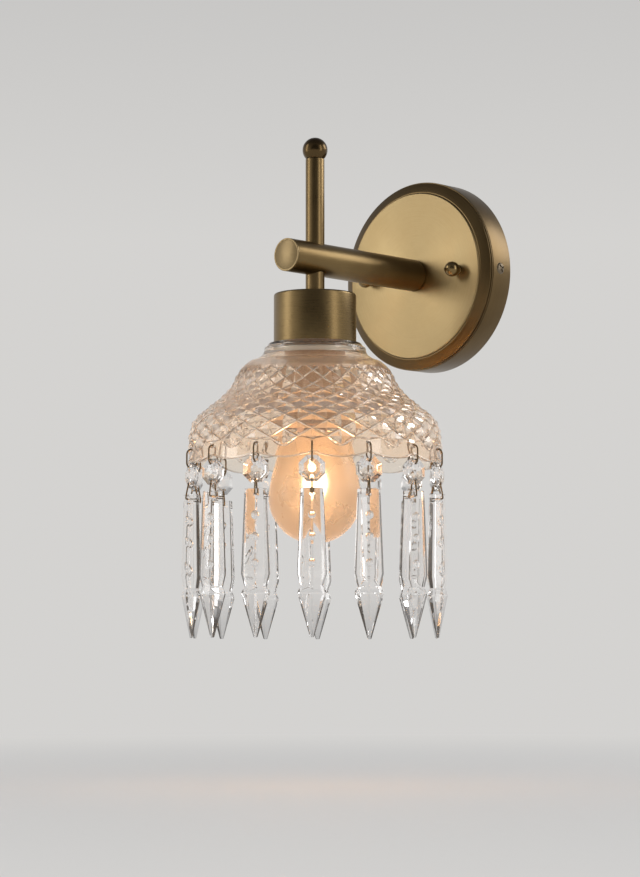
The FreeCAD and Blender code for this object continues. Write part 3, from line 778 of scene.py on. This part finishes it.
def leads():
    points = [
        (0.2, 14.0),
        (2.5, 14.0),
        (5.5, 13.6),
        (10.0, 5.6),
        (16.0, 0.0),
        (60.0, 0.0),
        (107.75, 0.0),
        (112.25, -0.8),
        (115.0, -5.5),
        (115.0, -20.0),
        (115.0, -43.0),
    ]
    for name, x in (("lead_left", -1.35), ("lead_right", 1.35)):
        path = smooth_path([(x, -out, up) for out, up in points], False, 8)
        wire = tube(name, path, LEAD_RADIUS, False)
        new_object(name, wire, "fixture", ["lead_wires"], lead_plastic)


# ---------------------------------------------------------------- cut-glass shade
FINE = 6  # steps of the mesh from a groove crossing to the next diamond tip


class Flare:
    """Smooth outline of the shade through its points, by the distance along it."""

    def __init__(self, points):
        points = np.array(points, float)
        steps = np.hypot(*np.diff(points, axis=0).T)
        self.knots = np.concatenate([[0.0], np.cumsum(steps)])
        self.points = points
        self.bends = np.array([self.second(points[:, k]) for k in (0, 1)]).T
        fine = np.linspace(0.0, self.knots[-1], 400)
        places = np.array([self.raw(t)[0] for t in fine])
        run = np.concatenate([[0.0], np.cumsum(np.hypot(*np.diff(places, axis=0).T))])
        self.fine, self.run = fine, run

    def second(self, values):
        """Second derivatives of a natural cubic spline."""
        count = len(values)
        gap = np.diff(self.knots)
        table = np.eye(count)
        right = np.zeros(count)
        for i in range(1, count - 1):
            table[i, i - 1 : i + 2] = gap[i - 1], 2 * (gap[i - 1] + gap[i]), gap[i]
            slopes = (values[i + 1] - values[i]) / gap[i] - (values[i] - values[i - 1]) / gap[i - 1]
            right[i] = 6 * slopes
        return np.linalg.solve(table, right)

    def raw(self, t):
        """Point and direction at a knot distance."""
        i = int(np.clip(np.searchsorted(self.knots, t) - 1, 0, len(self.knots) - 2))
        gap = self.knots[i + 1] - self.knots[i]
        b = (t - self.knots[i]) / gap
        a = 1 - b
        p, m = self.points, self.bends
        place = a * p[i] + b * p[i + 1] + ((a**3 - a) * m[i] + (b**3 - b) * m[i + 1]) * gap**2 / 6
        slope = (p[i + 1] - p[i]) / gap + ((1 - 3 * a**2) * m[i] + (3 * b**2 - 1) * m[i + 1]) * gap / 6
        return place, slope / np.hypot(*slope)

    def at(self, distance, sunk=0.0):
        """(radius, depth) at a distance along the outline, sunk into the glass."""
        place, along = self.raw(np.interp(distance, self.run, self.fine))
        return place[0] - along[1] * sunk, place[1] + along[0] * sunk


def from_groove(value):
    """Distance of a lattice number from the nearest odd number, 0 on a groove and 1 at a tip."""
    return abs(value % 2.0 - 1.0)


def diamond_height(row, column):
    """Height of the cut field, 0 at the bottom of a groove and 1 at a diamond's tip."""
    near = min(from_groove(row + column), from_groove(row - column))
    shoulder = 1.0 / FINE
    if near < shoulder:
        return 0.38 * near / shoulder
    return 0.38 + 0.62 * (near - shoulder) / (1.0 - shoulder)


def split_along_grooves(faces, first_ring, count):
    """Splits the cut field's four-sided faces along the nearest groove, so that grooves run straight."""
    done = []
    for number, face in enumerate(faces):
        ring, column = divmod(number, count)
        row = (ring - first_ring + 0.5) / FINE
        column = (column + 0.5) / FINE
        if not 0.0 < row < BANDS:
            done.append(face)
            continue
        a, b, c, d = face
        if from_groove(row + column) < from_groove(row - column):
            done += [(a, b, d), (b, c, d)]
        else:
            done += [(a, b, c), (a, c, d)]
    return done


def glass_shade():
    flare = Flare(FLARE)
    count = COLUMNS * FINE
    columns = [k / FINE for k in range(count)]

    def ring(make):
        points = []
        for c in columns:
            radius, depth = make(c)
            a = math.radians(c * 360.0 / COLUMNS + DROP_PHASE)
            points.append((radius * math.sin(a), -radius * math.cos(a), SHADE_TOP - depth))
        return points

    def plain_ring(radius, depth):
        return ring(lambda c: (radius, depth))

    neck = rounded(
        [
            (20.0, 0.0),
            (28.0, 0.0, 0.8),
            (28.9, 1.6, 0.6),
            (30.7, 2.8, 0.9),
            (30.9, 5.0, 1.0),
            (32.2, 7.4, 1.5),
            (36.4, 10.2, 1.2),
            (40.3, 11.4, 1.4),
            (42.8, 13.5, 1.2),
            flare.at(FIELD_START - 0.6),
        ],
        5,
    )
    rings = [plain_ring(r, d) for r, d in neck[:-1]]

    bottom_row = BANDS * FINE
    for k in range(bottom_row + 1):
        row = k / FINE
        distance = FIELD_START + (FIELD_END - FIELD_START) * row / BANDS
        full = flare.at(distance)
        groove = GROOVE * math.sqrt(full[0] / SKIRT_RADIUS) * min(1.0, row / 0.5)

        def field(c, row=row, distance=distance, groove=groove):
            return flare.at(distance, groove * (1.0 - diamond_height(row, c)))

        rings.append(ring(field))
    full_radius = flare.at(FIELD_END)[0]
    corner_radius, corner_depth = flare.at(FIELD_END, GROOVE * math.sqrt(full_radius / SKIRT_RADIUS))
    row_step = (FIELD_END - FIELD_START) / BANDS

    def petal_edge(c):
        x = abs((c + 2.0) % 4.0 - 2.0)
        if x <= 1.0:
            return corner_depth + (HOOK_DIAMOND_BOTTOM - corner_depth) * (1.0 - x)
        return PETAL_BOTTOM + (corner_depth - PETAL_BOTTOM) * (2.0 - x) ** 2

    def rim(c):
        x = abs((c + 2.0) % 4.0 - 2.0) / 2.0
        return RIM_DIP + (RIM_PEAK - RIM_DIP) * (1.0 - x) ** 2

    def skirt(depth):
        share = (depth - corner_depth) / (RIM_DIP - corner_depth)
        return corner_radius + (SKIRT_RADIUS - corner_radius) * share

    steps = 12
    for k in range(1, steps + 1):
        share = k / steps

        def petal(c, share=share):
            full = flare.at(FIELD_END)[1]
            edge = max(petal_edge(c), full + 0.02)
            depth = full + (edge - full) * share
            row = BANDS + (depth - full) / row_step
            lift = diamond_height(row, c) * min(1.0, (edge - depth) / 0.8)
            return skirt(depth) + GROOVE * lift, depth

        rings.append(ring(petal))
    for k in range(1, 9):
        share = k / 8

        def lower(c, share=share):
            top = max(petal_edge(c), corner_depth + 0.02)
            depth = top + (rim(c) - 0.9 - top) * share
            return skirt(depth), depth

        rings.append(ring(lower))
    inner_skirt = SKIRT_RADIUS - SHADE_WALL
    for k in range(1, 6):
        a = math.radians(90.0 * k / 5)

        def lip(c, a=a):
            return skirt(rim(c)) - 0.9 * (1 - math.cos(a)), rim(c) - 0.9 * (1 - math.sin(a))

        rings.append(ring(lip))
    for k in range(6):
        a = math.radians(90.0 * k / 5)

        def inner_lip(c, a=a):
            return inner_skirt + 0.9 * (1 - math.sin(a)), rim(c) - 0.9 * (1 - math.cos(a))

        rings.append(ring(inner_lip))
    for k in range(20, -1, -1):
        distance = FIELD_START + (FIELD_END + 2.0 - FIELD_START) * k / 20
        rings.append(plain_ring(*flare.at(distance, SHADE_WALL)))
    inside = rounded(
        [
            flare.at(FIELD_START, SHADE_WALL),
            (34.4, 13.6, 2.0),
            (27.2, 6.8, 2.0),
            (27.2, 3.6, 0.5),
            (20.0, 3.6),
            (20.0, 0.0),
        ]
    )
    rings += [plain_ring(r, d) for r, d in inside[1:-1]]

    points, faces = ring_grid(rings, close_rows=True)
    faces = split_along_grooves(faces, len(neck) - 1, count)
    mesh = make_mesh("glass_shade_cut", points, faces, 14.0)
    tools = []
    for n in range(DROPS):
        a = math.radians(DROP_PHASE + 360.0 * n / DROPS)
        out = Vector((math.sin(a), -math.cos(a), 0.0))
        start = out * (RING_RADIUS - 5) + Vector((0, 0, RIM_HOLE))
        tools.append(rod(SHADE_HOLE_RADIUS, start, out, 10, 16))
    mesh = cut(mesh, tools, 14.0)
    new_object("glass_shade_cut", at_shade(mesh), "fixture", ["glass_shade"], shade_glass_painted_glow)


# ---------------------------------------------------------------- crystal drops
def drop_place(number, turn_share):
    """Carries a mesh made at the shade's front to its drop's place, turned on its hook."""
    round_shade = Matrix.Rotation(math.radians(DROP_PHASE + 360.0 * number / DROPS), 4, "Z")
    on_hook = Matrix.Rotation(math.radians(turn_share * DROP_TURNS[number]), 4, "Z")
    to_shade = Matrix.Translation((0, -SHADE_REACH * MM, 0))
    to_ring = Matrix.Translation((0, -RING_RADIUS * MM, 0))
    return to_shade @ round_shade @ to_ring @ on_hook @ to_ring.inverted()


def hook_mesh():
    """Oval wire loop, in the upright plane through the front of the shade."""
    top = RIM_HOLE + HOOK_SEAT - HOOK_BEND
    foot = BEAD_MIDDLE + BEAD_HOLE_OFFSET - HOOK_SEAT + HOOK_BEND
    path = []
    for middle, start in ((top, 0.0), (foot, 180.0)):
        for k in range(13):
            a = math.radians(start + 180.0 * k / 12)
            path.append((0.0, -RING_RADIUS - HOOK_BEND * math.cos(a), middle + HOOK_BEND * math.sin(a)))
    return tube("hook", path, WIRE, True, 10)


def link_mesh():
    """Wire loop from the bead's lower hole round the prism's neck."""
    foot_reach = prism_half_thickness(PRISM_TOP - PRISM_HOLE) + WIRE + 0.3
    points = [
        (2.2, LINK_TOP),
        (2.75, LINK_TOP - 0.9),
        (foot_reach, LINK_FOOT + 1.2),
        (foot_reach - 0.9, LINK_FOOT),
        (0.0, LINK_FOOT),
    ]
    points = points + [(-o, u) for o, u in reversed(points[:-1])] + [(0.0, LINK_TOP)]
    path = smooth_path([(0.0, -RING_RADIUS - o, u) for o, u in points], True, 5)
    return tube("link", path, WIRE * 0.92, True, 10)


def bead_mesh():
    """Octagonal bead with a table, a ring of star facets and a ring of girdle facets on each side."""
    corner = 1.0 / math.cos(math.pi / 8)

    def ring(radius, out, turn):
        angles = [math.radians(turn + 45.0 * k) for k in range(8)]
        y = -RING_RADIUS - out
        return [(radius * math.cos(a), y, BEAD_MIDDLE + radius * math.sin(a)) for a in angles]

    girdle = BEAD_HALF_FLATS * corner * 0.985
    rings = [
        ring(2.5, -3.0, 0.0),
        ring(4.9, -2.35, 22.5),
        ring(girdle, -0.7, 22.5),
        ring(girdle, 0.7, 22.5),
        ring(4.9, 2.35, 22.5),
        ring(2.5, 3.0, 0.0),
    ]
    points = [p for r in rings for p in r]
    faces = [tuple(reversed(range(8))), tuple(range(40, 48))]
    for k in range(8):
        m = (k + 1) % 8
        faces.append((k, 8 + k, m))
        faces.append((m, 8 + k, 8 + m))
        faces.append((8 + k, 16 + k, 16 + m, 8 + m))
        faces.append((16 + k, 24 + k, 24 + m, 16 + m))
        faces.append((24 + k, 32 + k, 32 + m, 24 + m))
        faces.append((40 + k, 40 + m, 32 + k))
        faces.append((40 + m, 32 + m, 32 + k))
    mesh = make_mesh("bead", points, faces, 0)
    tools = []
    for height in (BEAD_MIDDLE + BEAD_HOLE_OFFSET, BEAD_MIDDLE - BEAD_HOLE_OFFSET):
        tools.append(rod(BEAD_HOLE_RADIUS, (0, -RING_RADIUS + 6, height), (0, -1, 0), 12, 14))
    return cut(mesh, tools, 8.0)


def prism_half_thickness(depth):
    """Half the prism's thickness at a depth below its top, above the waist."""
    (neck, _), (widest, widest_depth) = PRISM_LEVELS[1:3]
    return PRISM_FLATNESS * (neck + (widest - neck) * depth / widest_depth) / 2


def prism_mesh():
    """Tapering prism with a notched neck, a spearhead and three round dimples on its outer ridge."""
    rings = []
    for width, depth in PRISM_LEVELS:
        half = width / 2
        thick = PRISM_FLATNESS * half
        across, out = PRISM_SHOULDER_ACROSS * half, PRISM_SHOULDER_OUT * thick
        section = [(half, 0), (across, out), (0, thick), (-across, out)]
        section += [(-x, -y) for x, y in section]
        rings.append([(x, -RING_RADIUS + y, PRISM_TOP - depth) for x, y in section])
    points, faces = ring_grid(rings)
    faces.append(tuple(reversed(range(8))))
    faces.append(tuple(range(len(points) - 8, len(points))))
    mesh = make_mesh("prism", points, faces, 0)
    tools = [rod(PRISM_HOLE_RADIUS, (0, -RING_RADIUS + 9, PRISM_HOLE), (0, -1, 0), 18, 16)]
    mesh = cut(mesh, tools, 8.0)
    ball = (DIMPLE_MOUTH**2 + DIMPLE_SINK**2) / (2 * DIMPLE_SINK)
    angles = [math.radians(a) for a in range(-90, 91, 10)]
    sphere = [(max(ball * math.cos(a), 0.0), ball * math.sin(a)) for a in angles]
    tools = []
    for depth in DIMPLE_DEPTHS:
        tool = turned("dimple", sphere, 36)
        out = RING_RADIUS + prism_half_thickness(depth) + ball - DIMPLE_SINK
        tools.append(moved(tool, 0.0, -out, PRISM_TOP - depth))
    return cut(mesh, tools, 20.0)


def drops():
    hook = hook_mesh()
    hooks = []
    bead, link, prism = bead_mesh(), link_mesh(), prism_mesh()
    for mesh, material in ((bead, crystal), (link, wire_brass), (prism, crystal)):
        mesh.materials.append(material)
    for number in range(DROPS):
        label = "%02d" % (number + 1)
        loop = hook.copy()
        loop.transform(drop_place(number, 0.0))
        hooks.append(loop)
        for kind, mesh, body, slot, share in (
            ("bead", bead, "bead_", "crystal", BEAD_TURN_SHARE),
            ("link", link, "prism_", "hook_wire", 1.0),
            ("prism", prism, "prism_", "crystal", 1.0),
        ):
            own = mesh.copy()
            own.transform(drop_place(number, share))
            new_object("%s_%s_cut" % (kind, label), own, body + label, ["%s_%s" % (kind, label)])
    all_hooks = joined("rim_hook_wires", hooks)
    for face in all_hooks.polygons:
        face.use_smooth = True
    new_object("rim_hook_wires", all_hooks, "fixture", ["rim_hooks"], wire_brass)


# ---------------------------------------------------------------- build the object
canopy()
ball_nuts()
side_screws()
arm_and_stem()
cup()
lampholder()
bulb()
leads()
glass_shade()
drops()
for node in ("wall_bracket", "bracket_studs", "lock_nuts"):
    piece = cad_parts[node]
    piece.data.materials.clear()
    piece.data.materials.append(zinc)
    bevel = piece.modifiers.new("edges", "BEVEL")
    bevel.width = 0.25 * MM
    bevel.segments = 2
    bevel.limit_method = "ANGLE"


# ---------------------------------------------------------------- stage, light and camera
FLOOR = -0.318
FLOOR_REACH = 9.0
PALE = (0.66, 0.65, 0.635)
ROOM = (0.676, -0.737, 0.0)  # towards the darker room that metal and glass see
VIEW_PLACE = (1.0603, -1.2660, -0.2428)
VIEW_AZIMUTH = 42.541
VIEW_PITCH = 4.877
FOCAL_PIXELS = 2601.0
PICTURE_HEIGHT = 877.0
SENSOR = 36.0


def stage():
    mesh = bpy.data.meshes.new("floor")
    corners = [(-1, -1), (1, -1), (1, 1), (-1, 1)]
    mesh.from_pydata([(FLOOR_REACH * x, FLOOR_REACH * y, FLOOR) for x, y in corners], [], [(0, 1, 2, 3)])
    s = Shader("floor")
    grain = s.noise(s.place(), 60.0, 2.0)
    tint = s.ramp(grain, [(0.3, tuple(0.99 * c for c in PALE)), (0.7, PALE)])
    s.set(Base_Color=tint, Roughness=0.7)
    far = s.add("VectorMath", {0: s.place()}, operation="LENGTH").outputs["Value"]
    limits = {"Value": far, "From Min": 0.05, "From Max": 1.1}
    fade = s.add("MapRange", limits, interpolation_type="SMOOTHSTEP")
    haze = s.add("Emission", {"Color": (*PALE, 1.0), "Strength": 1.0})
    mix = s.add("MixShader", {0: fade, 1: s.bsdf.outputs[0], 2: haze})
    s.links.new(mix.outputs[0], s.output.inputs["Surface"])
    floor = new_object("floor", mesh, None, material=s.material)

    world = bpy.data.worlds.new("studio")
    bpy.context.scene.world = world
    world.use_nodes = True
    nodes, links = world.node_tree.nodes, world.node_tree.links
    nodes.clear()
    coord = nodes.new("ShaderNodeTexCoord")
    parts = nodes.new("ShaderNodeSeparateXYZ")
    links.new(coord.outputs["Generated"], parts.inputs[0])
    ramp = nodes.new("ShaderNodeValToRGB")
    stops = ((0.0, PALE), (0.16, PALE), (0.45, (0.40, 0.40, 0.40)), (0.9, (0.12, 0.12, 0.13)))
    while len(ramp.color_ramp.elements) < len(stops):
        ramp.color_ramp.elements.new(0.5)
    for element, (place, colour) in zip(ramp.color_ramp.elements, stops):
        element.position = place
        element.color = (*colour, 1.0)
    links.new(parts.outputs["Z"], ramp.inputs["Fac"])
    seen = nodes.new("ShaderNodeBackground")
    links.new(ramp.outputs["Color"], seen.inputs["Color"])
    rays = nodes.new("ShaderNodeLightPath")
    front = nodes.new("ShaderNodeVectorMath")
    front.operation = "DOT_PRODUCT"
    links.new(coord.outputs["Generated"], front.inputs[0])
    front.inputs[1].default_value = ROOM
    dark = nodes.new("ShaderNodeMapRange")
    dark.interpolation_type = "SMOOTHSTEP"
    links.new(front.outputs["Value"], dark.inputs["Value"])
    for key, value in (("From Min", 0.55), ("From Max", 0.9), ("To Min", 1.0), ("To Max", 0.18)):
        dark.inputs[key].default_value = value
    strength = nodes.new("ShaderNodeMath")
    strength.operation = "MAXIMUM"
    links.new(dark.outputs["Result"], strength.inputs[0])
    links.new(rays.outputs["Is Camera Ray"], strength.inputs[1])
    links.new(strength.outputs[0], seen.inputs["Strength"])
    lit = nodes.new("ShaderNodeBackground")
    lit.inputs["Color"].default_value = (0.95, 0.97, 1.0, 1.0)
    lit.inputs["Strength"].default_value = 0.68
    total = rays.outputs["Is Camera Ray"]
    for name in ("Is Glossy Ray", "Is Transmission Ray"):
        add = nodes.new("ShaderNodeMath")
        add.operation = "MAXIMUM"
        links.new(total, add.inputs[0])
        links.new(rays.outputs[name], add.inputs[1])
        total = add.outputs[0]
    mix = nodes.new("ShaderNodeMixShader")
    links.new(total, mix.inputs[0])
    links.new(lit.outputs[0], mix.inputs[1])
    links.new(seen.outputs[0], mix.inputs[2])
    out = nodes.new("ShaderNodeOutputWorld")
    links.new(mix.outputs[0], out.inputs["Surface"])


def lamp(name, place, aim, size, power):
    data = bpy.data.lights.new(name, "AREA")
    data.shape = "RECTANGLE"
    data.size, data.size_y = size
    data.energy = power
    light = bpy.data.objects.new(name, data)
    light.location = place
    light.rotation_euler = (Vector(aim) - Vector(place)).to_track_quat("-Z", "Y").to_euler()
    bpy.context.scene.collection.objects.link(light)


def bulb_light():
    """The lit bulb's warm light on the glass, brass and floor; the glowing bulb itself is what is seen."""
    data = bpy.data.lights.new("bulb_light", "POINT")
    data.shadow_soft_size = 14.0 * MM
    data.energy = 0.36
    data.color = (1.0, 0.58, 0.28)
    light = bpy.data.objects.new("bulb_light", data)
    light.location = (0.0, -SHADE_REACH * MM, GLOW_MIDDLE * MM)
    light.visible_camera = False
    light.visible_transmission = False
    bpy.context.scene.collection.objects.link(light)


def camera():
    """The photograph's viewpoint, fitted to the canopy's, cup's and shade's round edges."""
    azimuth, pitch = math.radians(VIEW_AZIMUTH), math.radians(VIEW_PITCH)
    level = math.cos(pitch)
    forward = Vector((-math.sin(azimuth) * level, math.cos(azimuth) * level, math.sin(pitch)))
    data = bpy.data.cameras.new("camera")
    data.sensor_width = SENSOR
    data.sensor_fit = "AUTO"
    data.lens = FOCAL_PIXELS * SENSOR / PICTURE_HEIGHT
    data.clip_start, data.clip_end = 0.05, 50.0
    view = bpy.data.objects.new("camera", data)
    view.location = VIEW_PLACE
    view.rotation_euler = forward.to_track_quat("-Z", "Y").to_euler()
    bpy.context.scene.collection.objects.link(view)
    bpy.context.scene.camera = view


stage()
lamp("key", (-0.95, -1.2, 0.45), (0.0, -0.08, -0.05), (0.45, 1.3), 4.8)
lamp("fill", (1.5, 0.1, 0.4), (0.0, -0.08, -0.08), (0.4, 1.3), 3.6)
bulb_light()
lamp("back", (0.7, 1.0, 0.6), (0.0, -0.1, -0.1), (0.6, 0.6), 5.0)
camera()
scene = bpy.context.scene
scene.view_settings.view_transform = "Standard"
